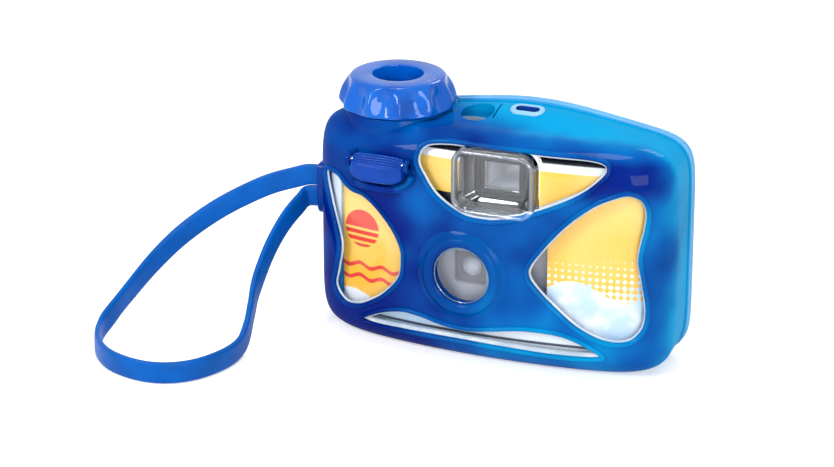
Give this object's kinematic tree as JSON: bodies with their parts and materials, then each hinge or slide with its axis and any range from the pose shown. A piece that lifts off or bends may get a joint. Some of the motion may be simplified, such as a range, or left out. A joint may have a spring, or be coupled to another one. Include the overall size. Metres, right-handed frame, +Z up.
{
  "type": "waterproof single-use film camera",
  "caption": "Waterproof single-use film camera: rounded sealed blue case with clear windows, lobed wind-on knob, shutter lever and rubber wrist strap, with a simple film camera inside.",
  "frame": {"origin": "centre of the case's footprint, lever included and strap left out, on the plane the base rests on", "axes": "+X to the right seen from the front, along the case's width; the lens faces -Y; +Z up, along the knob's axis"},
  "size_m": [0.1821, 0.0962, 0.0876],
  "materials": {
    "shell": "translucent blue moulded plastic",
    "back": "translucent lighter blue moulded plastic",
    "gasket": "matt rubber seal",
    "clear": "clear moulded plastic",
    "frosted": "pale frosted plastic",
    "label_card": "printed card, amber with white and pale blue",
    "knob": "opaque bright blue plastic",
    "lever": "deep blue plastic",
    "strap": "satin blue rubber",
    "seal": "black rubber",
    "steel": "bright steel",
    "grey_cover": "fine-grained grey plastic",
    "black_plastic": "matt black plastic",
    "white_plastic": "white moulded plastic",
    "cassette_metal": "painted thin sheet",
    "film": "glossy film base"
  },
  "bodies": {
    "case": {"front_shell": "shell", "back_shell": "back", "case_gasket": "gasket", "window_left": "clear", "window_right": "clear", "window_top": "clear", "window_bottom": "clear", "lens_window": "clear", "eyepiece_window": "clear", "counter_window": "clear", "indicator_window": "frosted", "label_left": "label_card", "label_right": "label_card", "label_bottom": "label_card", "label_top_left": "label_card", "label_top_right": "label_card", "label_back": "label_card", "knob_seal": "seal", "lever_pin": "steel", "plunger_seal": "seal", "plunger_spring": "steel", "strap": "strap", "strap_lug": "shell", "camera_chassis": "black_plastic", "camera_front_cover": "grey_cover", "camera_back_cover": "black_plastic", "cassette_shell": "cassette_metal", "cassette_caps": "black_plastic", "film_strip": "film", "release_spring": "steel", "striker_spring": "steel", "aperture_plate": "black_plastic", "taking_lens": "clear", "lens_retainer": "black_plastic", "viewfinder_tube": "black_plastic", "viewfinder_front_lens": "clear", "viewfinder_rear_lens": "clear"},
    "wind_on": {"advance_knob": "knob", "knob_shaft": "knob", "knob_clip": "steel", "thumbwheel": "black_plastic", "cassette_spool": "black_plastic"},
    "film_supply": {"supply_spool": "black_plastic", "film_roll": "film"},
    "film_sprocket": {"sprocket": "white_plastic"},
    "counter": {"counter_dial": "white_plastic"},
    "lever": {"shutter_lever": "lever"},
    "push_rod": {"plunger": "white_plastic"},
    "latch": {"release_arm": "white_plastic"},
    "hammer": {"striker": "white_plastic"},
    "blade": {"shutter_blade": "black_plastic"}
  },
  "joints": [
    {"name": "knob_turn", "type": "hinge", "parent": "case", "child": "wind_on", "pos_m": [-0.0365, 0.00335, 0.08], "axis": [0, 0, 1], "continuous": true},
    {"name": "supply_turn", "type": "hinge", "parent": "case", "child": "film_supply", "pos_m": [0.0275, 0.00505, 0.03], "axis": [0, 0, 1], "continuous": true},
    {"name": "sprocket_turn", "type": "hinge", "parent": "case", "child": "film_sprocket", "pos_m": [-0.0167, 0.00855, 0.05], "axis": [0, 0, 1], "continuous": true},
    {"name": "counter_turn", "type": "hinge", "parent": "case", "child": "counter", "pos_m": [-0.0142, 0.00055, 0.066], "axis": [0, 0, 1], "continuous": true},
    {"name": "lever_press", "type": "hinge", "parent": "case", "child": "lever", "pos_m": [-0.0335, -0.01986, 0.0649], "axis": [1, 0, 0], "range_deg": [0, 14]},
    {"name": "plunger_slide", "type": "slide", "parent": "case", "child": "push_rod", "axis": [0, 1, 0], "range_m": [0, 0.00083], "stiffness_N_per_m": 400, "deforming": ["plunger_spring"]},
    {"name": "latch_swing", "type": "hinge", "parent": "case", "child": "latch", "pos_m": [-0.0087, -0.00445, 0.0615], "axis": [0, 0, -1], "range_deg": [0, 2]},
    {"name": "striker_swing", "type": "hinge", "parent": "case", "child": "hammer", "pos_m": [-0.0027, -0.00335, 0.049], "axis": [0, -1, 0], "range_deg": [0, 40], "stiffness_Nm_per_rad": 0.002},
    {"name": "blade_swing", "type": "hinge", "parent": "case", "child": "blade", "pos_m": [0.0023, -0.00335, 0.0365], "axis": [0, 1, 0], "range_deg": [0, 32]}
  ],
  "couplings": [
    {"joint": "supply_turn", "follows": "knob_turn", "ratio": 0.63},
    {"joint": "sprocket_turn", "follows": "knob_turn", "ratio": 1},
    {"joint": "counter_turn", "follows": "knob_turn", "ratio": -0.025},
    {"joint": "lever_press", "follows": "plunger_slide", "rad_per_m": 294.1},
    {"joint": "latch_swing", "follows": "plunger_slide", "rad_per_m": 40.32},
    {"joint": "blade_swing", "follows": "striker_swing", "ratio": 0.78}
  ]
}
